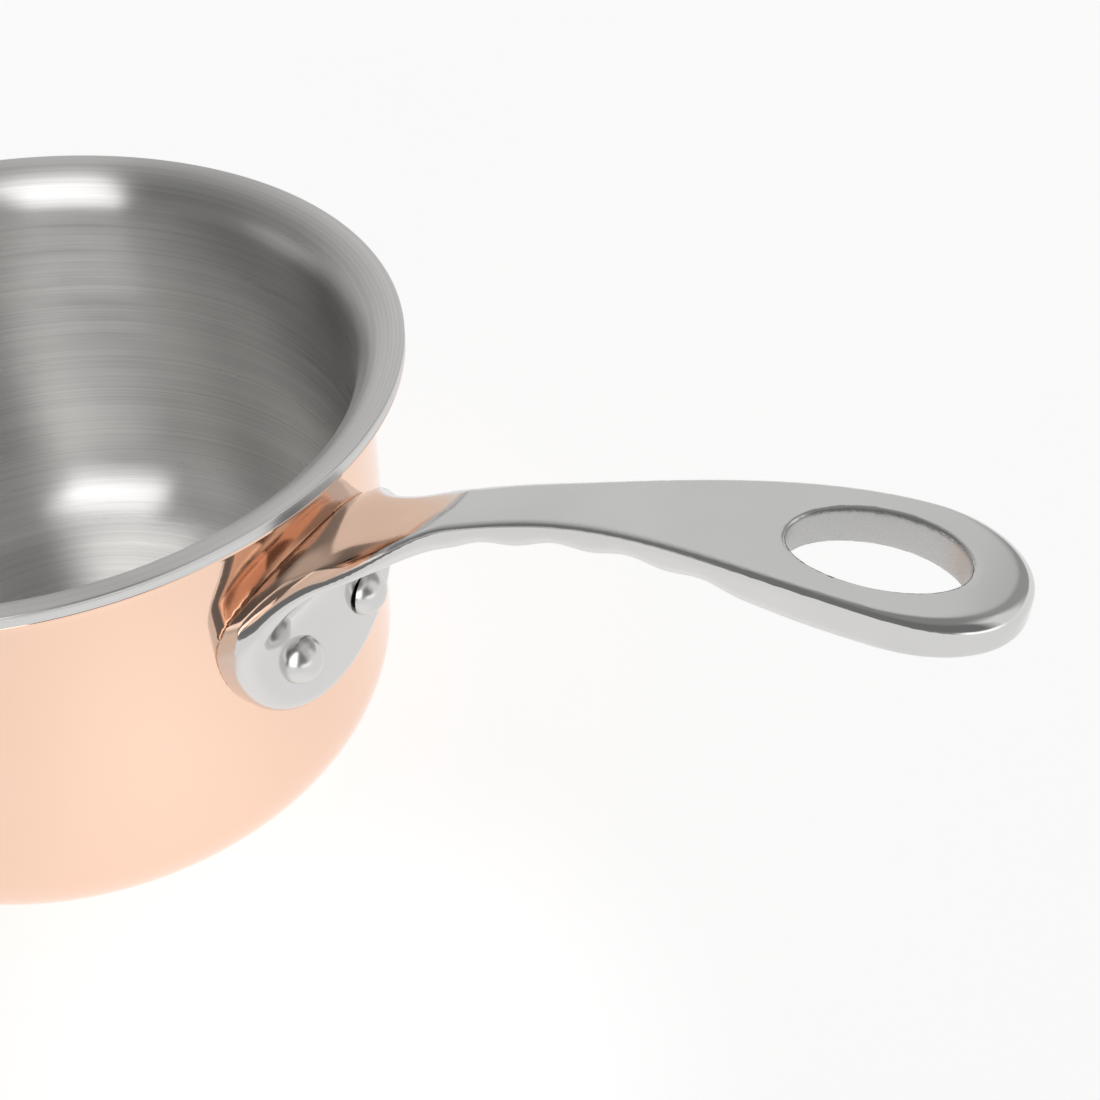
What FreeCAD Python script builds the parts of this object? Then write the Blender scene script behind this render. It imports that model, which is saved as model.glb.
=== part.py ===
"""Copper saucepan with a riveted cast handle.

Frame: +Z up, origin at the centre of the pan's base, handle along +X, millimetres.
The pan is deep-drawn from one bonded sheet of three layers: a copper skin outside, an aluminium core
and a stainless steel liner inside. Its rim is flared outwards and cut square. The handle is one cast
piece: a pad that hugs the wall, and a blade that rises from it to a flat end with a hanging hole.
Two solid rivets, headed on both sides, hold the pad to the wall.
"""
import FreeCAD, Part
import math
import os

Vector = FreeCAD.Vector

# Pan
rim_radius = 70.0
pan_height = 85.0
lip_radius = 9.0            # of the steel face of the flared rim
corner_radius = 20.0        # outside, between base and wall
copper_thickness = 0.4
core_thickness = 1.55
liner_thickness = 0.5
liner_edge_rounding = 0.3   # on the top edge of the cut rim

# Handle pad
pad_width = 44.4
pad_height = 33.5
pad_thickness = 3.3         # in the middle; the pad's face is flatter than the wall, so its ends are thicker
pad_face_curve = 250.0       # radius of that face
pad_edge_rounding = 2.8
root_gap = 7.2              # straight wall left between the lip's flare and the handle's root

# Handle blade
blade_reach = 114.7         # from the wall to the tip, along X
tip_rise = 21.4             # of the tip's top face above the rim
root_slope = 0.72           # of the top face where it leaves the wall
tip_slope = -0.03
root_arch = 4.4             # how far the top face falls from the middle to the pad's ends, at the wall
arch_length = 42.0          # over which that arch fades out to a flat top
neck_half_width = 5.8
neck_position = 38.5        # from the wall
end_half_width = 12.6
end_length = 17.2           # of the half ellipse that ends the blade
neck_thickness = 5.2
end_thickness = 6.3
web_gap = 1.5               # from the top of the pad's half round to the foot of the sweep under the root
web_reach = 8.5             # how far out that sweep ends, from the pad's face
blade_edge_rounding = 1.1   # of the top face's edges

# Finger scallops under the blade
scallop_count = 4
scallop_pitch = 12.6
scallop_depth = 0.8
scallop_start = 30.0        # from the wall

# Hanging hole
hole_length = 24.5
hole_width = 15.6
hole_to_tip = 8.3
hole_edge_rounding = 0.6

# Rivets
rivet_shank_radius = 2.4
rivet_spacing = 19.5
rivet_height_on_pad = 14.8  # above the pad's lowest point
outer_head_radius = 4.3
outer_head_height = 3.7
inner_head_radius = 4.5
inner_head_height = 1.5

# Worked out from the above
sheet_thickness = copper_thickness + core_thickness + liner_thickness
inner_wall_radius = rim_radius - lip_radius
wall_radius = inner_wall_radius + sheet_thickness
pad_face = wall_radius + pad_thickness
pad_axis = Vector(pad_face - pad_face_curve, 0, 0)
root_height = pan_height - lip_radius - root_gap
pad_bottom = root_height - pad_height
tip_x = wall_radius + blade_reach
hole_x = tip_x - hole_to_tip - hole_length / 2
rivet_z = pad_bottom + rivet_height_on_pad
rivet_y = rivet_spacing / 2
rivet_seat = Vector(pad_axis.x + math.sqrt(pad_face_curve ** 2 - rivet_y ** 2), rivet_y, 0)
back = inner_wall_radius - 8    # where the handle's outlines start, before the wall trims them
FAR = 60.0                  # how far the cutting tools reach past the part

ORIGIN = Vector(0, 0, 0)
UP = Vector(0, 0, 1)


def line(a, b):
    return Part.LineSegment(Vector(*a), Vector(*b)).toShape()


def arc(centre, radius, start_deg, middle_deg, end_deg):
    """An arc in the XZ plane, through three angles measured from +X towards +Z."""
    def at(angle):
        a = math.radians(angle)
        return Vector(centre[0] + radius * math.cos(a), 0, centre[1] + radius * math.sin(a))
    return Part.Arc(at(start_deg), at(middle_deg), at(end_deg)).toShape()


def bezier(*points):
    curve = Part.BezierCurve()
    curve.setPoles([Vector(*p) for p in points])
    return curve.toShape()


def spline(points):
    curve = Part.BSplineCurve()
    curve.interpolate([Vector(*p) for p in points])
    return curve.toShape()


def face_of(edges):
    return Part.Face(Part.Wire(Part.__sortEdges__(edges)))


def smooth_step(t):
    t = min(max(t, 0.0), 1.0)
    return t * t * (3 - 2 * t)


# ---------------------------------------------------------------- pan

def sheet_line(depth):
    """The sheet's section at a depth from its outer face: base, corner, wall and lip, from axis to rim."""
    corner = (wall_radius - corner_radius, corner_radius)
    lip = (rim_radius, pan_height - lip_radius)
    wall = wall_radius - depth
    return [
        line((0, 0, depth), (corner[0], 0, depth)),
        arc(corner, corner_radius - depth, -90, -45, 0),
        line((wall, 0, corner[1]), (wall, 0, lip[1])),
        arc(lip, lip_radius - sheet_thickness + depth, 180, 135, 90),
    ]


def sheet_layer(outer_depth, inner_depth):
    """One layer of the bonded sheet, turned about the pan's axis."""
    edge_z = pan_height - sheet_thickness
    closing = [
        line((0, 0, outer_depth), (0, 0, inner_depth)),
        line((rim_radius, 0, edge_z + outer_depth), (rim_radius, 0, edge_z + inner_depth)),
    ]
    section = face_of(sheet_line(outer_depth) + sheet_line(inner_depth) + closing)
    return section.revolve(ORIGIN, UP, 360)


def round_rim_edge(liner):
    """Breaks the liner's sharp top edge, where the rim was cut and brushed."""
    edges = [e for e in liner.Edges
             if isinstance(e.Curve, Part.Circle)
             and abs(e.Curve.Radius - rim_radius) < 0.01
             and abs(e.Curve.Center.z - pan_height) < 0.01]
    return liner.makeFillet(liner_edge_rounding, edges)


# ---------------------------------------------------------------- handle

def blade_top(x):
    """Height of the blade's top face on its centre line, a cubic from the wall to the tip."""
    start, end = root_height, pan_height + tip_rise
    t = (x - wall_radius) / blade_reach
    if t < 0:
        return start + root_slope * (x - wall_radius)
    if t > 1:
        return end + tip_slope * (x - tip_x)
    blend = smooth_step(t)
    return (start + (end - start) * blend
            + root_slope * blade_reach * t * (1 - t) ** 2
            - tip_slope * blade_reach * t * t * (1 - t))


def blade_thickness(x):
    """Upright thickness of the blade on its centre line, scallops taken off."""
    t = (x - wall_radius) / blade_reach
    thickness = neck_thickness + (end_thickness - neck_thickness) * smooth_step((t - 0.55) / 0.25)
    turns = (x - wall_radius - scallop_start) / scallop_pitch
    if 0 < turns < scallop_count:
        thickness -= scallop_depth * (1 - math.cos(2 * math.pi * turns)) / 2
    return thickness


def top_height(x, y):
    """The same anywhere on the top face, which is arched across at the root and flat further out."""
    arch = root_arch * (1 - smooth_step((x - wall_radius) / arch_length))
    return blade_top(x) - arch * (2 * y / pad_width) ** 2


def below_top_face():
    """Everything under the blade's top face."""
    stations = 24
    start, end = back, tip_x + 8
    rows = []
    for i in range(stations + 1):
        x = start + (end - start) * i / stations
        rows.append([Vector(x, share * pad_width, top_height(x, share * pad_width))
                     for share in (-0.6, -0.3, 0, 0.3, 0.6)])
    sheet = Part.BSplineSurface()
    sheet.interpolate(rows)
    return sheet.toShape().extrude(Vector(0, 0, -pan_height - FAR))


def above_under_face():
    """Everything above the blade's under face and its sweep into the pad, turned about the pad face's axis."""
    web_x = pad_face + web_reach
    steps = int((tip_x + 8 - web_x) / 2.1)
    xs = [web_x + (tip_x + 8 - web_x) * i / steps for i in range(steps + 1)]
    under = [(x, 0, blade_top(x) - blade_thickness(x)) for x in xs]
    first = under[0]
    slope = (under[1][2] - first[2]) / (under[1][0] - first[0])
    web_start = pad_bottom + pad_width / 2 + web_gap
    top = pan_height + tip_rise + FAR
    edges = [
        bezier((pad_face, 0, web_start), (pad_face, 0, web_start + 0.55 * (first[2] - web_start)),
               (first[0] - 0.5 * web_reach, 0, first[2] - 0.5 * web_reach * slope), first),
        spline(under),
        line(under[-1], (xs[-1], 0, top)),
        line((xs[-1], 0, top), (back, 0, top)),
        line((back, 0, top), (back, 0, web_start)),
        line((back, 0, web_start), (pad_face, 0, web_start)),
    ]
    swing = 30
    region = face_of(edges)
    region.rotate(pad_axis, UP, -swing)
    return region.revolve(pad_axis, UP, 2 * swing)


def plan_outline():
    """The handle seen from above: pad, concave flare, neck, widening blade and half-ellipse end."""
    half = pad_width / 2
    root_x = pad_axis.x + math.sqrt(pad_face_curve ** 2 - half ** 2)
    neck_x = wall_radius + neck_position
    end_x = tip_x - end_length
    flare = neck_x - root_x
    swell = end_x - neck_x
    edges = []
    for side in (-1, 1):
        edges += [
            line((back, side * half, 0), (root_x, side * half, 0)),
            bezier((root_x, side * half, 0),
                   (root_x + 0.22 * flare, side * (neck_half_width + 0.25 * (half - neck_half_width)), 0),
                   (root_x + 0.48 * flare, side * neck_half_width, 0),
                   (neck_x, side * neck_half_width, 0)),
            bezier((neck_x, side * neck_half_width, 0),
                   (neck_x + 0.38 * swell, side * neck_half_width, 0),
                   (end_x - 0.42 * swell, side * end_half_width, 0),
                   (end_x, side * end_half_width, 0)),
        ]
    tip = Part.Ellipse(Vector(end_x, 0, 0), end_length, end_half_width)
    edges.append(Part.ArcOfEllipse(tip, -math.pi / 2, math.pi / 2).toShape())
    edges.append(line((back, -half, 0), (back, half, 0)))
    return face_of(edges).extrude(Vector(0, 0, pan_height + tip_rise + 2 * FAR))


def front_outline():
    """The pad seen from the front: a half round below, straight sides above."""
    half = pad_width / 2
    x = back
    centre_z = pad_bottom + half
    top = pan_height + tip_rise + FAR
    edges = [
        Part.Arc(Vector(x, -half, centre_z), Vector(x, 0, pad_bottom), Vector(x, half, centre_z)).toShape(),
        line((x, half, centre_z), (x, half, top)),
        line((x, half, top), (x, -half, top)),
        line((x, -half, top), (x, -half, centre_z)),
    ]
    return face_of(edges).extrude(Vector(blade_reach + FAR, 0, 0))


def hanging_hole():
    ellipse = Part.Ellipse(Vector(hole_x, 0, 0), hole_length / 2, hole_width / 2)
    return face_of([ellipse.toShape()]).extrude(Vector(0, 0, pan_height + tip_rise + FAR))


def edges_where(shape, test):
    """The long edges of a shape whose middle point, clear of the wall, passes a test."""
    found = []
    for edge in shape.Edges:
        p = edge.valueAt((edge.FirstParameter + edge.LastParameter) / 2)
        if edge.Length > 15 and math.hypot(p.x, p.y) > wall_radius + 1 and test(p):
            found.append(edge)
    return found


def on_top(p):
    return abs(p.z - top_height(p.x, p.y)) < 0.3


def on_hole_edge(p):
    across, along = 2 * p.y / hole_width, 2 * (p.x - hole_x) / hole_length
    return on_top(p) and math.hypot(across, along) < 1.02


def make_pad():
    """The plate that lies on the wall. The rounding of its half round runs on up its straight sides."""
    plate = Part.makeCylinder(pad_face_curve, root_height + 5, pad_axis).common(front_outline())
    half_round = edges_where(plate, lambda p: p.z < pad_bottom + pad_width / 4)
    return plate.makeFillet(pad_edge_rounding, half_round)


def make_handle():
    blade = above_under_face().common(plan_outline())
    body = blade.fuse(make_pad()).common(below_top_face())
    body = body.cut(Part.makeCylinder(wall_radius, pan_height + FAR)).removeSplitter()
    body = body.makeFillet(blade_edge_rounding, edges_where(body, on_top))
    body = body.cut(hanging_hole())
    return body.makeFillet(hole_edge_rounding, edges_where(body, on_hole_edge))


# ---------------------------------------------------------------- rivets

def rivet_frame(side):
    """The point where the rivet's axis starts, on the pan's axis, and its outward direction."""
    return Vector(0, 0, rivet_z), Vector(rivet_seat.x, side * rivet_seat.y, 0).normalize()


def rivet_shank(side):
    start, out = rivet_frame(side)
    inner = inner_wall_radius - inner_head_height / 2
    outer = rivet_seat.Length + outer_head_height / 2
    return Part.makeCylinder(rivet_shank_radius, outer - inner, start + out * inner, out)


def dome(seat, out, radius, height):
    """A domed head: the part of a ball that stands out past its seat, with a skirt to trim to the seat."""
    ball_radius = (radius ** 2 + height ** 2) / (2 * height)
    ball = Part.makeSphere(ball_radius, seat + out * (height - ball_radius))
    skirt = 1.5
    keep = Part.makeCylinder(radius, height + skirt + 1, seat - out * skirt, out)
    root = Part.makeCylinder(radius, skirt, seat - out * skirt, out)
    return ball.common(keep).fuse(root).removeSplitter()


def make_rivet(side, held):
    """A solid rivet whose two heads are formed against the faces of the pieces it holds."""
    start, out = rivet_frame(side)
    outer_head = dome(start + out * rivet_seat.Length, out, outer_head_radius, outer_head_height)
    inner_head = dome(start + out * inner_wall_radius, out * -1, inner_head_radius, inner_head_height)
    rivet = rivet_shank(side).fuse([outer_head, inner_head])
    for piece in held:
        rivet = rivet.cut(piece)
    return rivet


def main():
    core_depth = copper_thickness
    liner_depth = copper_thickness + core_thickness
    pieces = {
        "copper_shell": sheet_layer(0, core_depth),
        "aluminium_core": sheet_layer(core_depth, liner_depth),
        "steel_liner": round_rim_edge(sheet_layer(liner_depth, sheet_thickness)),
        "handle": make_handle(),
    }
    shanks = [rivet_shank(side) for side in (-1, 1)]
    for name in pieces:
        pieces[name] = pieces[name].cut(shanks)
    held = list(pieces.values())
    pieces["rivet_right"] = make_rivet(-1, held)
    pieces["rivet_left"] = make_rivet(1, held)
    os.makedirs("parts", exist_ok=True)
    for name, shape in pieces.items():
        shape.exportStep(f"parts/{name}.step")
        box = shape.BoundBox
        print(name, len(shape.Solids), shape.isValid(), round(shape.Volume, 1),
              [round(v, 2) for v in (box.XMin, box.XMax, box.YMin, box.YMax, box.ZMin, box.ZMax)])


main()
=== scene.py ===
"""Copper saucepan: its looks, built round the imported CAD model, in metres."""
import math

import bmesh
import bpy
import numpy as np
from mathutils import Matrix, Vector


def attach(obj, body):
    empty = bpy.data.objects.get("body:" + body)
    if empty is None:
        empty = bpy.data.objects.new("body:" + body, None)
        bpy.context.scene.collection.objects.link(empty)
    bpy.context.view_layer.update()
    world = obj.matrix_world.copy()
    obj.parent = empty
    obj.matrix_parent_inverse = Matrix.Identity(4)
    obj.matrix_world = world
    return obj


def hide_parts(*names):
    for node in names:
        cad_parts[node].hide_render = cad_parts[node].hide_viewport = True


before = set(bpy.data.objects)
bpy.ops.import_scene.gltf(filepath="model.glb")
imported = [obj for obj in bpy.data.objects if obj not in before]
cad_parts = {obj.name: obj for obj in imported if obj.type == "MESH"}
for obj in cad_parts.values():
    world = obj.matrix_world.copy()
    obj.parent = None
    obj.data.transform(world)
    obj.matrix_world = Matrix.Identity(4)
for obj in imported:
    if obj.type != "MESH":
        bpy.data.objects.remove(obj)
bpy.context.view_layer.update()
MM = 0.001

# ---------------------------------------------------------------- sizes, in millimetres
RIM_RADIUS = 70.0
HEIGHT = 85.0
WALL_RADIUS = 63.45
SHEET = 2.45
COPPER = 0.40
CORE = 1.55
LIP_RADIUS = 9.0
CORNER_RADIUS = 20.0
TIP_X = 178.1
RIVET_Z = 50.1
RIVET_Y = 9.75
PAD_CURVE = 250.0
PAD_FACE = WALL_RADIUS + 3.3
PAD_HALF_WIDTH = 22.2
PAD_BOTTOM = 35.3
SHANK_RADIUS = 2.4
SHANK_GAP = 0.02
HEAD_OUTER, HEAD_OUTER_HEIGHT = 4.3, 3.7
HEAD_INNER, HEAD_INNER_HEIGHT = 4.5, 1.5
SMOOTH_ANGLE = 35.0  # degrees


def smooth_step(t):
    t = np.clip(t, 0.0, 1.0)
    return t * t * (3 - 2 * t)


def mesh_object(name, points, faces, material, smooth_angle=SMOOTH_ANGLE):
    """A mesh in metres from points in millimetres, smooth except at edges sharper than smooth_angle."""
    mesh = bpy.data.meshes.new(name)
    mesh.from_pydata([tuple(p) for p in np.asarray(points) * MM], [], [tuple(f) for f in faces])
    obj = bpy.data.objects.new(name, mesh)
    bpy.context.scene.collection.objects.link(obj)
    mesh.materials.append(material)
    sharpen(mesh, smooth_angle)
    return obj


def sharpen(mesh, smooth_angle):
    bm = bmesh.new()
    bm.from_mesh(mesh)
    bmesh.ops.recalc_face_normals(bm, faces=bm.faces)
    limit = math.radians(smooth_angle)
    for face in bm.faces:
        face.smooth = True
    for edge in bm.edges:
        edge.smooth = len(edge.link_faces) == 2 and edge.calc_face_angle(0.0) < limit
    bm.to_mesh(mesh)
    bm.free()


# ---------------------------------------------------------------- node helpers

def new_material(name):
    material = bpy.data.materials.new(name)
    material.use_nodes = True
    tree = material.node_tree
    tree.nodes.clear()
    out = tree.nodes.new("ShaderNodeOutputMaterial")
    shader = tree.nodes.new("ShaderNodeBsdfPrincipled")
    tree.links.new(shader.outputs["BSDF"], out.inputs["Surface"])
    return material, tree, shader


def node(tree, kind, **settings):
    made = tree.nodes.new(kind)
    for key, value in settings.items():
        setattr(made, key, value)
    return made


def math_node(tree, operation, a, b=None):
    made = node(tree, "ShaderNodeMath", operation=operation)
    for i, value in enumerate((a, b)):
        if value is None:
            continue
        if isinstance(value, (int, float)):
            made.inputs[i].default_value = value
        else:
            tree.links.new(value, made.inputs[i])
    return made.outputs[0]


def noise(tree, vector, scale, detail=2.0, roughness=0.5):
    made = node(tree, "ShaderNodeTexNoise")
    made.inputs["Scale"].default_value = scale
    made.inputs["Detail"].default_value = detail
    made.inputs["Roughness"].default_value = roughness
    tree.links.new(vector, made.inputs["Vector"])
    return made.outputs["Fac"]


def ramp(tree, value, stops):
    made = node(tree, "ShaderNodeValToRGB")
    elements = made.color_ramp.elements
    while len(elements) < len(stops):
        elements.new(0.5)
    for element, (place, colour) in zip(elements, stops):
        element.position = place
        element.color = (*colour, 1.0)
    tree.links.new(value, made.inputs["Fac"])
    return made.outputs["Color"]


def map_range(tree, value, low, high, to_low, to_high, interpolation="LINEAR"):
    made = node(tree, "ShaderNodeMapRange", interpolation_type=interpolation)
    tree.links.new(value, made.inputs["Value"])
    for key, number in zip(("From Min", "From Max", "To Min", "To Max"), (low, high, to_low, to_high)):
        made.inputs[key].default_value = number
    return made.outputs["Result"]


def mix_colour(tree, factor, a, b):
    made = node(tree, "ShaderNodeMix", data_type="RGBA")
    tree.links.new(factor, made.inputs["Factor"])
    for socket, value in ((made.inputs[6], a), (made.inputs[7], b)):
        if isinstance(value, tuple):
            socket.default_value = value
        else:
            tree.links.new(value, socket)
    return made.outputs[2]


def bump(tree, height, strength, distance, normal=None):
    made = node(tree, "ShaderNodeBump")
    made.inputs["Strength"].default_value = strength
    made.inputs["Distance"].default_value = distance
    tree.links.new(height, made.inputs["Height"])
    if normal is not None:
        tree.links.new(normal, made.inputs["Normal"])
    return made.outputs["Normal"]


def turned_coordinates(tree, around, along):
    """Coordinates for marks left by turning: stretched round the pan's axis, fine along its section."""
    parts = node(tree, "ShaderNodeSeparateXYZ")
    tree.links.new(object_coordinates(tree), parts.inputs[0])
    x, y, z = parts.outputs
    x_squared = math_node(tree, "MULTIPLY", x, x)
    y_squared = math_node(tree, "MULTIPLY", y, y)
    radius = math_node(tree, "SQRT", math_node(tree, "ADD", x_squared, y_squared))
    section = math_node(tree, "ADD", radius, z)
    joined = node(tree, "ShaderNodeCombineXYZ")
    tree.links.new(math_node(tree, "MULTIPLY", x, around), joined.inputs[0])
    tree.links.new(math_node(tree, "MULTIPLY", y, around), joined.inputs[1])
    tree.links.new(math_node(tree, "MULTIPLY", section, along), joined.inputs[2])
    return joined.outputs[0]


def object_coordinates(tree):
    return node(tree, "ShaderNodeTexCoord").outputs["Object"]


def radial_tangent(tree, shader):
    """Lets highlights spread across the turning marks: the tangent runs round the axis, so a quarter turn."""
    tangent = node(tree, "ShaderNodeTangent", direction_type="RADIAL", axis="Z")
    tree.links.new(tangent.outputs["Tangent"], shader.inputs["Tangent"])
    shader.inputs["Anisotropic Rotation"].default_value = 0.25


# ---------------------------------------------------------------- materials

def copper_material():
    material, tree, shader = new_material("polished_copper")
    shader.inputs["Metallic"].default_value = 1.0
    shader.inputs["Anisotropic"].default_value = 0.3
    radial_tangent(tree, shader)
    broad = noise(tree, object_coordinates(tree), 14.0, 3.0)
    colour = ramp(tree, broad, [(0.3, (0.935, 0.650, 0.500)), (0.7, (0.945, 0.670, 0.525))])
    tree.links.new(colour, shader.inputs["Base Color"])
    fine = noise(tree, turned_coordinates(tree, 30.0, 2600.0), 1.0, 3.0, 0.6)
    tree.links.new(map_range(tree, fine, 0.3, 0.7, 0.05, 0.09), shader.inputs["Roughness"])
    tree.links.new(bump(tree, fine, 0.04, 0.00002), shader.inputs["Normal"])
    return material


# Heights in metres between which the painted light below the lip, a colour painted brighter than the lip's,
# fades to the colour of the lip.
PAINTED_LIGHT_TOP = 0.060
LIP_BOTTOM = 0.082


def brushed_material(name, colour, rough, anisotropic, depth, inside=1.0):
    """Metal brushed round the pan's axis. Its colour is multiplied by inside below the lip, painted light
    that makes the inside brighter than the lip.
    """
    material, tree, shader = new_material(name)
    shader.inputs["Metallic"].default_value = 1.0
    shader.inputs["Anisotropic"].default_value = anisotropic
    radial_tangent(tree, shader)
    lines = noise(tree, turned_coordinates(tree, 9.0, 2400.0), 1.0, 1.5, 0.5)
    broad = noise(tree, turned_coordinates(tree, 20.0, 260.0), 1.0, 2.0)
    low = [c * 0.84 for c in colour]
    streaks = ramp(tree, lines, [(0.25, low), (0.75, colour)])
    height = node(tree, "ShaderNodeSeparateXYZ")
    tree.links.new(object_coordinates(tree), height.inputs[0])
    scaled = node(tree, "ShaderNodeVectorMath", operation="SCALE")
    tree.links.new(streaks, scaled.inputs[0])
    # painted light: below the lip the colour is multiplied by inside, so the inner wall and base are painted
    # brighter than the lip
    painted_brightening = map_range(tree, height.outputs[2], PAINTED_LIGHT_TOP, LIP_BOTTOM, inside, 1.0)
    tree.links.new(painted_brightening, scaled.inputs["Scale"])
    tree.links.new(scaled.outputs["Vector"], shader.inputs["Base Color"])
    tree.links.new(map_range(tree, broad, 0.3, 0.7, rough - 0.03, rough + 0.04), shader.inputs["Roughness"])
    tree.links.new(bump(tree, lines, depth, 0.00006), shader.inputs["Normal"])
    return material


def cast_material():
    """The handle's satin steel: a tumbled casting with a fine grain."""
    material, tree, shader = new_material("satin_cast_steel")
    shader.inputs["Metallic"].default_value = 1.0
    grain = noise(tree, object_coordinates(tree), 3800.0, 2.0)
    waves = noise(tree, object_coordinates(tree), 60.0, 2.0)
    tree.links.new(ramp(tree, waves, [(0.3, (0.645, 0.640, 0.632)), (0.7, (0.675, 0.670, 0.662))]),
                   shader.inputs["Base Color"])
    tree.links.new(map_range(tree, grain, 0.3, 0.7, 0.08, 0.13), shader.inputs["Roughness"])
    smooth = bump(tree, waves, 0.08, 0.0004)
    tree.links.new(bump(tree, grain, 0.05, 0.00002, smooth), shader.inputs["Normal"])
    return material


def rough_cast_material():
    """As cast, inside the hanging hole."""
    material, tree, shader = new_material("rough_cast_steel")
    shader.inputs["Metallic"].default_value = 1.0
    grain = noise(tree, object_coordinates(tree), 2600.0, 3.0, 0.6)
    tree.links.new(ramp(tree, grain, [(0.3, (0.47, 0.468, 0.462)), (0.7, (0.58, 0.575, 0.57))]),
                   shader.inputs["Base Color"])
    tree.links.new(map_range(tree, grain, 0.3, 0.7, 0.32, 0.5), shader.inputs["Roughness"])
    tree.links.new(bump(tree, grain, 0.5, 0.00012), shader.inputs["Normal"])
    return material


def rivet_material():
    material, tree, shader = new_material("rivet_steel")
    shader.inputs["Metallic"].default_value = 1.0
    shader.inputs["Base Color"].default_value = (0.66, 0.655, 0.645, 1.0)
    shader.inputs["Roughness"].default_value = 0.24
    dents = noise(tree, object_coordinates(tree), 420.0, 0.0)
    tree.links.new(bump(tree, dents, 0.10, 0.0004), shader.inputs["Normal"])
    return material


# The floor gives out most of its own brightness, and more in a round patch beside the root, so that
# almost no shadow shows.
FLOOR_GLOW = 0.76
PATCH_X, PATCH_Y = 0.090, -0.052
PATCH_RADIUS = 0.085
PATCH_GLOW = 0.14


def floor_material():
    material, tree, shader = new_material("pale_floor")
    broad = noise(tree, object_coordinates(tree), 3.0, 2.0)
    tree.links.new(ramp(tree, broad, [(0.3, (0.44, 0.44, 0.44)), (0.7, (0.46, 0.46, 0.46))]),
                   shader.inputs["Base Color"])
    shader.inputs["Roughness"].default_value = 0.9
    shader.inputs["Specular IOR Level"].default_value = 0.1
    shader.inputs["Emission Color"].default_value = (1.0, 1.0, 1.0, 1.0)
    place = node(tree, "ShaderNodeMapping")
    place.inputs["Location"].default_value = (-PATCH_X, -PATCH_Y, 0.0)
    tree.links.new(object_coordinates(tree), place.inputs["Vector"])
    away = node(tree, "ShaderNodeVectorMath", operation="LENGTH")
    tree.links.new(place.outputs["Vector"], away.inputs[0])
    glow = map_range(tree, away.outputs["Value"], 0.0, PATCH_RADIUS,
                     FLOOR_GLOW + PATCH_GLOW, FLOOR_GLOW, "SMOOTHSTEP")
    tree.links.new(glow, shader.inputs["Emission Strength"])
    return material


# ---------------------------------------------------------------- pan

def arc(centre, radius, start, end, steps):
    angles = np.radians(np.linspace(start, end, steps))
    return [(centre[0] + radius * math.cos(a), centre[1] + radius * math.sin(a)) for a in angles]


def sheet_curve(depth):
    """Radius and height along the sheet at a depth from its outer face, from the axis to the rim."""
    corner = (WALL_RADIUS - CORNER_RADIUS, CORNER_RADIUS)
    lip = (RIM_RADIUS, HEIGHT - LIP_RADIUS)
    base = [(corner[0] * k / 12, depth) for k in range(12)]
    wall = [(WALL_RADIUS - depth, z) for z in np.linspace(CORNER_RADIUS, HEIGHT - LIP_RADIUS, 24)[1:-1]]
    return (base + arc(corner, CORNER_RADIUS - depth, -90, 0, 40) + wall
            + arc(lip, LIP_RADIUS - SHEET + depth, 180, 90, 36))


def lathe(name, section, material, turns=540):
    """Turns a closed section, whose first and last points lie on the axis, about Z."""
    rim = [p for p in section if p[0] > 1e-6]
    n = len(rim)
    angles = np.linspace(0, 2 * math.pi, turns, endpoint=False)
    points = [(r * math.cos(a), r * math.sin(a), z) for a in angles for r, z in rim]
    faces = []
    for i in range(turns):
        j = (i + 1) % turns
        for k in range(n - 1):
            faces.append((i * n + k, j * n + k, j * n + k + 1, i * n + k + 1))
    first, last = len(points), len(points) + 1
    points += [(0, 0, section[0][1]), (0, 0, section[-1][1])]
    for i in range(turns):
        j = (i + 1) % turns
        faces.append((first, j * n, i * n))
        faces.append((last, i * n + n - 1, j * n + n - 1))
    return mesh_object(name, points, faces, material)


def layer(name, outer, inner, material, bevel=0.06):
    """One layer of the sheet, its cut edge broken at both corners."""
    low, high = HEIGHT - SHEET + outer, HEIGHT - SHEET + inner
    edge = [(RIM_RADIUS - bevel, low), (RIM_RADIUS, low + bevel),
            (RIM_RADIUS, high - bevel), (RIM_RADIUS - bevel, high)]
    return lathe(name, sheet_curve(outer)[:-1] + edge + sheet_curve(inner)[:-1][::-1], material)


def pad_reach(y):
    """How far out the pad's face is, at a distance across it."""
    return PAD_FACE - PAD_CURVE + math.sqrt(PAD_CURVE ** 2 - y ** 2)


def pierce(obj):
    """Cuts the rivets' holes through a piece of the wall."""
    for side in (-1, 1):
        bpy.ops.mesh.primitive_cylinder_add(vertices=48, radius=SHANK_RADIUS * MM, depth=0.03)
        tool = bpy.context.object
        out = Vector((pad_reach(RIVET_Y), side * RIVET_Y, 0)).normalized()
        tool.rotation_mode = "QUATERNION"
        tool.rotation_quaternion = out.to_track_quat("Z", "Y")
        tool.location = (out * WALL_RADIUS + Vector((0, 0, RIVET_Z))) * MM
        bpy.context.view_layer.update()
        cut = obj.modifiers.new("pierce", "BOOLEAN")
        cut.operation, cut.solver, cut.object = "DIFFERENCE", "EXACT", tool
        depsgraph = bpy.context.evaluated_depsgraph_get()
        old = obj.data
        obj.data = bpy.data.meshes.new_from_object(obj.evaluated_get(depsgraph))
        obj.modifiers.clear()
        bpy.data.meshes.remove(old)
        bpy.data.objects.remove(tool)
    sharpen(obj.data, SMOOTH_ANGLE)


# ---------------------------------------------------------------- handle, as a distance field

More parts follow.
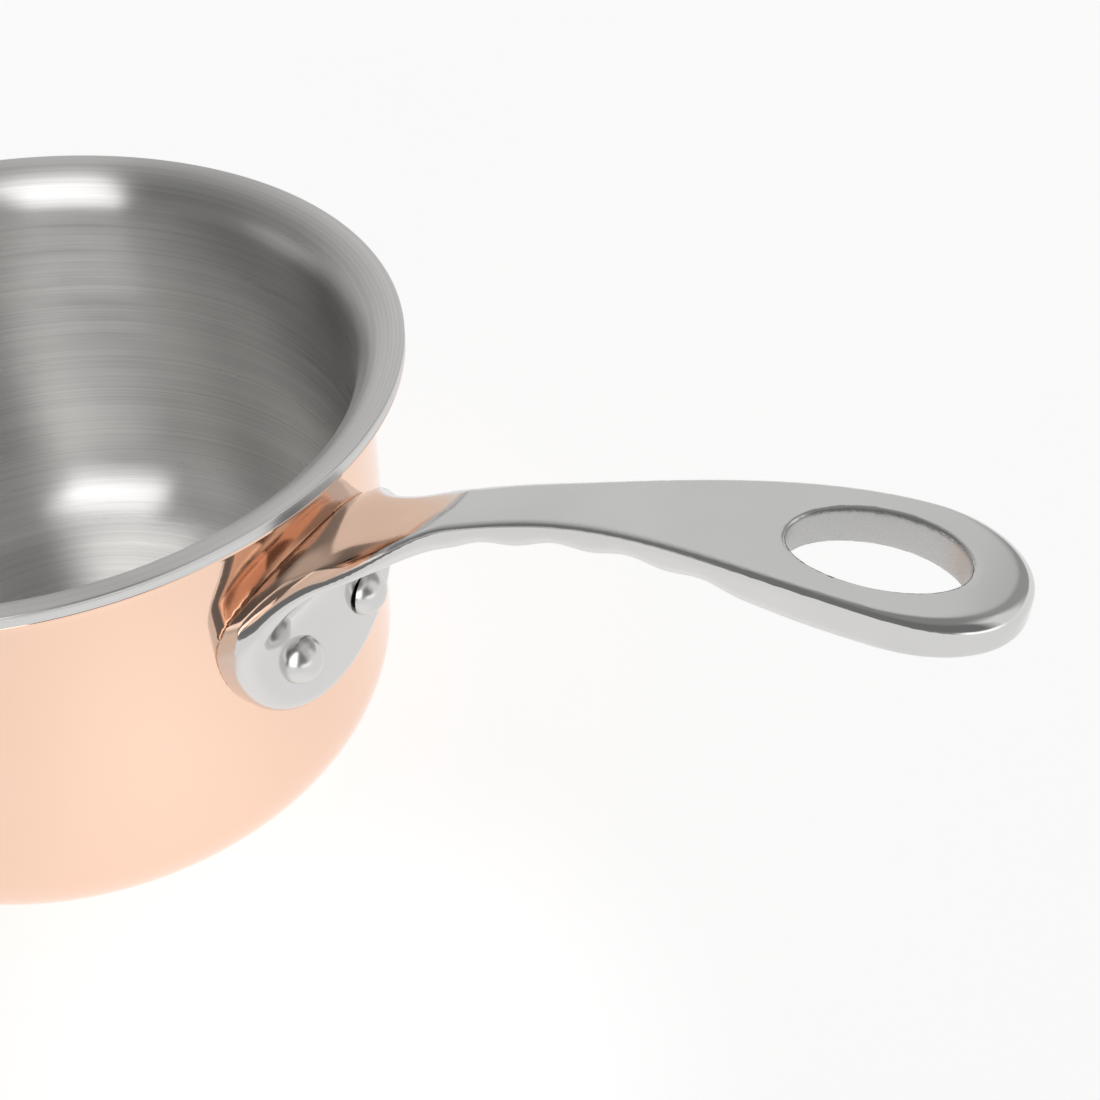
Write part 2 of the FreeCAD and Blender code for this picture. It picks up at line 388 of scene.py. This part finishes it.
NECK = 5.75  # the blade's half width where it is narrowest
END = 12.55  # and beside the hanging hole
END_LENGTH = 16.9
SWELL_X = 106.0
FLARE = 13.0  # added to the half width at the root
FLARE_X = 94.0
FLARE_LENGTH = 28.0
HOLE_X, HOLE_A, HOLE_B = 157.6, 12.4, 7.75
ROOT_BELOW_RIM = 16.2
TIP_ABOVE_RIM = 21.4
ROOT_SLOPE = 0.72
TIP_SLOPE = 0.03
DIP = 1.4
DIP_LENGTH = 30.0
ROOT_THICKNESS = 4.9
SCALLOP_X = 93.5
SCALLOP_LENGTH = 12.5
SCALLOPS = 4
SCALLOP_DEPTH = 0.8
ARCH = 4.3  # how far the root's top falls away at ARCH_Y to either side
ARCH_Y = 21.0
ARCH_LENGTH = 40.0
CROWN = 0.017  # a further fall, on the right side only
CROWN_X = 66.0
CROWN_LENGTH = 42.0
EDGE_RADIUS = 1.15


def round_max(a, b, radius):
    """Intersection of two solids with its convex edge rounded."""
    return (np.minimum(np.maximum(a, b), -radius)
            + np.hypot(np.maximum(a + radius, 0), np.maximum(b + radius, 0)))


def round_min(a, b, radius):
    """Union of two solids with its concave edge filled."""
    return (np.maximum(np.minimum(a, b), radius)
            - np.hypot(np.maximum(radius - a, 0), np.maximum(radius - b, 0)))


def half_width(x):
    """The blade's half width: a concave flare at the root, a neck, and a swell towards the end."""
    flare = FLARE * (np.clip(FLARE_X - x, 0, None) / FLARE_LENGTH) ** 1.7
    return NECK + flare + (END - NECK) * smooth_step((x - SWELL_X) / (TIP_X - END_LENGTH - SWELL_X))


def plan_distance(x, y):
    """Signed distance across the blade, seen from above, to its outline."""
    slope = (half_width(x + 0.05) - half_width(x - 0.05)) / 0.1
    side = (np.abs(y) - half_width(x)) / np.sqrt(1 + slope ** 2)
    p = 2.2
    u, v = np.clip(x - (TIP_X - END_LENGTH), 0, None) / END_LENGTH, np.abs(y) / END
    level = (u ** p + v ** p) ** (1 / p)
    du = u ** (p - 1) / END_LENGTH * np.maximum(level, 1e-6) ** (1 - p)
    dv = v ** (p - 1) / END * np.maximum(level, 1e-6) ** (1 - p)
    end = (level - 1) / np.maximum(np.hypot(du, dv), 0.02)
    return np.where(x > TIP_X - END_LENGTH, end, side)


def hole_distance(x, y):
    """Signed distance to the hanging hole's outline, below zero in the metal."""
    u, v = (x - HOLE_X) / HOLE_A, y / HOLE_B
    level = np.sqrt(u ** 2 + v ** 2) + 1e-9
    return (1 - level) / (np.hypot(u / HOLE_A, v / HOLE_B) / level)


def top_z(x):
    """The blade's top face on its centre line."""
    start = HEIGHT - ROOT_BELOW_RIM
    end = HEIGHT + TIP_ABOVE_RIM
    reach = TIP_X - WALL_RADIUS
    t = (x - WALL_RADIUS) / reach
    inside = np.clip(t, 0, 1)
    z = (start + (end - start) * smooth_step(inside) + ROOT_SLOPE * reach * inside * (1 - inside) ** 2
         + TIP_SLOPE * reach * inside ** 2 * (1 - inside))
    z = z - DIP * np.sin(math.pi * np.clip((x - WALL_RADIUS) / DIP_LENGTH, 0, 1)) ** 2
    before_root = np.where(t < 0, ROOT_SLOPE * (x - WALL_RADIUS), 0)
    past_tip = np.where(t > 1, TIP_SLOPE * (x - TIP_X), 0)
    return z + before_root - past_tip


def thickness(x):
    """The blade's thickness, less the finger scallops under it."""
    t = (x - WALL_RADIUS) / (TIP_X - WALL_RADIUS)
    turns = (x - SCALLOP_X) / SCALLOP_LENGTH
    wave = SCALLOP_DEPTH * (1 - np.cos(2 * math.pi * turns)) / 2
    scallop = np.where((turns > 0) & (turns < SCALLOPS), wave, 0)
    thicker = 1.4 * smooth_step((t - 0.55) / 0.25)
    thinner = 0.5 * smooth_step((t - 0.88) / 0.12)
    return ROOT_THICKNESS + thicker - thinner - scallop


def handle_field(x, y, z):
    """Roughly the signed distance to the whole handle: blade and pad joined, hole and shanks cut away."""
    slope = (top_z(x + 0.05) - top_z(x - 0.05)) / 0.1
    tilt = np.sqrt(1 + slope ** 2)
    arch = ARCH * (1 - smooth_step((x - WALL_RADIUS) / ARCH_LENGTH)) * (np.abs(y) / ARCH_Y) ** 2.4
    along = np.clip((x - CROWN_X) / CROWN_LENGTH, 0, 1)
    crown = CROWN * np.minimum(y, 0.0) ** 2 * np.sin(math.pi * along) ** 2
    top = (z - top_z(x) + arch + crown) / tilt
    under = (top_z(x) - thickness(x) - z) / tilt
    sides = plan_distance(x, y)
    blade = round_max(sides, under, 1.5)
    face = np.hypot(x - (PAD_FACE - PAD_CURVE), y) - PAD_CURVE
    half = PAD_HALF_WIDTH
    low = np.hypot(y, np.minimum(z - (PAD_BOTTOM + half), 0)) - half
    pad = round_max(face, low, 3.0)
    root_round = 4.6 * (np.clip(92.0 - x, 0, 26) / 26.0) ** 2
    tip_round = 1.2 * smooth_step((x - 160.0) / 16.0)
    edge = EDGE_RADIUS + root_round + tip_round
    body = np.maximum(round_max(round_min(blade, pad, 8.0), top, edge), round_max(low, top, 3.0))
    body = np.maximum(body, WALL_RADIUS - np.hypot(x, y))
    body = round_max(body, hole_distance(x, y), 0.7)
    reach = pad_reach(RIVET_Y)
    for side in (-1, 1):
        length = math.hypot(reach, RIVET_Y)
        out = (reach / length, side * RIVET_Y / length)
        across = np.hypot(x * out[1] - y * out[0], z - RIVET_Z)
        body = np.maximum(body, np.where(x < 80, SHANK_RADIUS - across, -9.0))
    return body


def surface_nets(field, low, high, step):
    """Points and faces of the surface where a field is zero, one point to a cell."""
    axes = [np.arange(a, b + step, step) for a, b in zip(low, high)]
    grid = field(*np.meshgrid(*axes, indexing="ij"))
    inside = grid < 0
    nx, ny, nz = grid.shape
    total = np.zeros((nx - 1, ny - 1, nz - 1, 3))
    count = np.zeros((nx - 1, ny - 1, nz - 1))

    def corner(a, i, j, k):
        return a[i:nx - 1 + i, j:ny - 1 + j, k:nz - 1 + k]

    for axis in range(3):
        for u in (0, 1):
            for v in (0, 1):
                start = [u, v]
                start.insert(axis, 0)
                end = list(start)
                end[axis] = 1
                a, b = corner(grid, *start), corner(grid, *end)
                crossing = (a < 0) != (b < 0)
                share = np.where(crossing, a / np.where(crossing, a - b, 1), 0)
                for n in range(3):
                    place = share if n == axis else start[n]
                    total[..., n] += np.where(crossing, place, 0)
                count += crossing
    cells = np.argwhere(count > 0)
    index = -np.ones(count.shape, int)
    index[tuple(cells.T)] = np.arange(len(cells))
    points = cells + total[tuple(cells.T)] / count[tuple(cells.T)][:, None]
    points = np.array([a[0] for a in axes]) + points * step
    faces = []
    for axis in range(3):
        first = [slice(None)] * 3
        second = [slice(None)] * 3
        first[axis], second[axis] = slice(None, -1), slice(1, None)
        change = inside[tuple(first)] != inside[tuple(second)]
        for n in range(3):
            if n != axis:
                keep = np.zeros(change.shape[n], bool)
                keep[1:-1] = True
                shape = [1, 1, 1]
                shape[n] = -1
                change = change & keep.reshape(shape)
        at = np.argwhere(change)
        u, v = [n for n in range(3) if n != axis]
        du, dv = np.zeros(3, int), np.zeros(3, int)
        du[u], dv[v] = 1, 1
        ring = [index[tuple((at - a * du - b * dv).T)] for a, b in ((0, 0), (1, 0), (1, 1), (0, 1))]
        quads = np.stack(ring, 1)
        outward = inside[tuple(at.T)] ^ (axis == 1)
        quads[~outward] = quads[~outward][:, ::-1]
        faces.append(quads)
    return points, np.concatenate(faces)


def gradient(field, points, step=0.02):
    g = np.stack([field(*(points + d).T) - field(*(points - d).T) for d in np.eye(3) * step], 1)
    return g / (2 * step)


def settle(field, points, rounds=4):
    """Moves points onto the surface."""
    for _ in range(rounds):
        g = gradient(field, points)
        points = points - (field(*points.T) / np.maximum((g ** 2).sum(1), 0.05))[:, None] * g
    return points


HANDLE_LOW = (55.0, -22.5, 33.0)  # corners of a box that holds the handle
HANDLE_HIGH = (179.5, 22.5, 108.5)


def make_handle(step):
    """The handle as one closed mesh, rough inside the hanging hole."""
    points, faces = surface_nets(handle_field, HANDLE_LOW, HANDLE_HIGH, step)
    points = settle(handle_field, points)
    obj = mesh_object("cast_handle", points, faces, cast_material(), 50.0)
    obj.data.materials.append(rough_cast_material())
    for face in obj.data.polygons:
        x, y, z = face.center / MM
        if abs(hole_distance(x, y)) < 0.12 and x > 140:
            face.material_index = 1
    return obj


# ---------------------------------------------------------------- rivets

def head(seat, radius, height, side):
    """Rows of points of a domed head that bulges along out from its seat, on the rivet's axis."""
    ball = (radius ** 2 + height ** 2) / (2 * height)
    top = math.asin(radius / ball)
    return [(ball * math.sin(a), seat + side * (ball * math.cos(a) - ball + height))
            for a in np.linspace(top, 0, 20)[:-1]]


def make_rivet(name, side, material):
    """A rivet as one turned piece: inner head, shank and outer head, along its own axis."""
    reach = pad_reach(RIVET_Y)
    out = Vector((reach, side * RIVET_Y, 0)).normalized()
    outer_seat = math.hypot(reach, RIVET_Y)
    inner_seat = WALL_RADIUS - SHEET
    inner = head(inner_seat, HEAD_INNER, HEAD_INNER_HEIGHT, -1)[::-1]
    outer = head(outer_seat, HEAD_OUTER, HEAD_OUTER_HEIGHT, 1)
    shank = SHANK_RADIUS - SHANK_GAP
    section = ([(0, inner_seat - HEAD_INNER_HEIGHT)] + inner
               + [(HEAD_INNER - 0.05, inner_seat + 0.03), (shank, inner_seat + 0.05)]
               + [(shank, outer_seat - 0.05), (HEAD_OUTER - 0.1, outer_seat - 0.03)]
               + outer + [(0, outer_seat + HEAD_OUTER_HEIGHT)])
    obj = lathe(name, section, material, 96)
    turn = out.to_track_quat("Z", "Y").to_matrix().to_4x4()
    obj.data.transform(turn)
    obj.data.transform(Matrix.Translation((0, 0, RIVET_Z * MM)))
    return obj


# ---------------------------------------------------------------- build

copper = copper_material()
# the last number, 1.25, is painted light: the lining is painted 1.25 times brighter below the lip than on it
liner_steel = brushed_material("brushed_liner_steel", (0.72, 0.71, 0.70), 0.30, 0.97, 0.06, 1.25)
core_metal = brushed_material("cut_core_aluminium", (0.72, 0.72, 0.715), 0.34, 0.6, 0.5)
rivet_steel = rivet_material()

shell = layer("copper_skin", 0, COPPER, copper)
core = layer("sheet_core", COPPER, COPPER + CORE, core_metal)
rounded = arc((RIM_RADIUS - 0.3, HEIGHT - 0.3), 0.3, 0, 90, 6)
liner_inner = sheet_curve(SHEET)[:-1] + [(RIM_RADIUS - 0.3, HEIGHT)]
liner = lathe("lining", sheet_curve(COPPER + CORE) + rounded[:-1] + liner_inner[::-1], liner_steel)
for piece in (shell, core, liner):
    pierce(piece)
handle = make_handle(0.5)
rivet_left = make_rivet("left_rivet", 1, rivet_steel)
rivet_right = make_rivet("right_rivet", -1, rivet_steel)

for piece, cad, slot in ((shell, "copper_shell", "copper"),
                         (core, "aluminium_core", "aluminium"),
                         (liner, "steel_liner", "brushed_stainless"),
                         (handle, "handle", "cast_stainless"),
                         (rivet_left, "rivet_left", "rivet_steel"),
                         (rivet_right, "rivet_right", "rivet_steel")):
    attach(piece, "root")
    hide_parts(cad)

# ---------------------------------------------------------------- studio

FLOOR_HALF = 6000.0
FLOOR_DROP = 0.02
floor_corners = [(x * FLOOR_HALF, y * FLOOR_HALF, -FLOOR_DROP)
                 for x, y in ((-1, -1), (1, -1), (1, 1), (-1, 1))]
floor = mesh_object("floor", floor_corners, [(0, 1, 2, 3)], floor_material())


def make_world():
    """Soft grey surroundings from two rings of smooth bands, one low and one high, and a dark ceiling."""
    world = bpy.data.worlds.new("studio")
    bpy.context.scene.world = world
    world.use_nodes = True
    tree = world.node_tree
    tree.nodes.clear()
    out = tree.nodes.new("ShaderNodeOutputWorld")
    back = tree.nodes.new("ShaderNodeBackground")
    tree.links.new(back.outputs[0], out.inputs[0])
    texture = node(tree, "ShaderNodeTexCoord")
    turn = node(tree, "ShaderNodeMapping", vector_type="VECTOR")
    turn.inputs["Rotation"].default_value = (0, 0, math.radians(-WORLD_TURN))
    tree.links.new(texture.outputs["Generated"], turn.inputs["Vector"])
    parts = node(tree, "ShaderNodeSeparateXYZ")
    tree.links.new(turn.outputs[0], parts.inputs[0])
    angle = math_node(tree, "ARCTAN2", parts.outputs[1], parts.outputs[0])
    share = map_range(tree, angle, -math.pi, math.pi, 0.0, 1.0)
    low, high = [ramp(tree, share, [((a + 180) / 360, (v, v, v)) for a, v in stops])
                 for stops in (WORLD_LOW, WORLD_HIGH)]
    sides = mix_colour(tree, map_range(tree, parts.outputs[2], 0.12, 0.24, 0.0, 1.0), low, high)
    upwards = map_range(tree, parts.outputs[2], 0.80, 0.95, 0.0, 1.0)
    all_round = mix_colour(tree, upwards, sides, WORLD_CEILING)
    tree.links.new(all_round, back.inputs["Color"])
    back.inputs["Strength"].default_value = WORLD_STRENGTH


# Each ring lists (degrees round the pan, brightness). WORLD_TURN sets where zero degrees lies.
WORLD_TURN = 29.0
WORLD_STRENGTH = 2.5
WORLD_CEILING = (0.12, 0.12, 0.12, 1.0)
WORLD_HIGH = [(-180, 0.09), (-100, 0.08), (-45, 0.08), (-25, 0.36), (5, 0.36), (25, 0.16), (60, 0.16),
              (73, 0.30), (105, 0.31), (125, 0.24), (150, 0.16), (165, 0.09), (180, 0.09)]
WORLD_LOW = [(-180, 0.30), (-168, 0.30), (-160, 0.09), (-100, 0.09), (-78, 0.14), (-66, 0.66), (-36, 0.66),
             (-20, 0.40), (50, 0.40), (70, 0.30), (105, 0.30), (180, 0.26)]


def window_light(azimuth, elevation, distance, width, height, radiance, pieces):
    """A tall soft window, aimed at the rim's centre, which lights only the pieces given."""
    data = bpy.data.lights.new("window", "AREA")
    data.shape = "RECTANGLE"
    data.size = width
    data.size_y = height
    data.energy = 4 * width * height * radiance
    window = bpy.data.objects.new("window", data)
    a = math.radians(azimuth + WORLD_TURN)
    e = math.radians(elevation)
    way = Vector((math.cos(e) * math.cos(a), math.cos(e) * math.sin(a), math.sin(e)))
    window.location = Vector((0, 0, HEIGHT * MM)) + way * distance
    window.rotation_euler = way.to_track_quat("Z", "Y").to_euler()
    bpy.context.scene.collection.objects.link(window)
    receivers = bpy.data.collections.new("lit_by_window")
    for piece in pieces:
        receivers.objects.link(piece)
    window.light_linking.receiver_collection = receivers


PAN_PIECES = (shell, core, liner, rivet_left, rivet_right)
window_light(azimuth=-104.0, elevation=35.0, distance=1.5, width=0.92, height=2.0, radiance=1.45,
             pieces=PAN_PIECES)
make_world()

camera = bpy.data.objects.new("camera", bpy.data.cameras.new("camera"))
camera.data.lens, camera.data.sensor_width = 54.98, 36.0
camera.data.clip_start = 0.01
camera.location = (0.20035, -0.16511, 0.24853)
camera.rotation_euler = Vector((-0.3663, 0.6608, -0.6552)).to_track_quat("-Z", "Y").to_euler()
bpy.context.scene.collection.objects.link(camera)
bpy.context.scene.camera = camera
bpy.context.scene.view_settings.view_transform = "Standard"
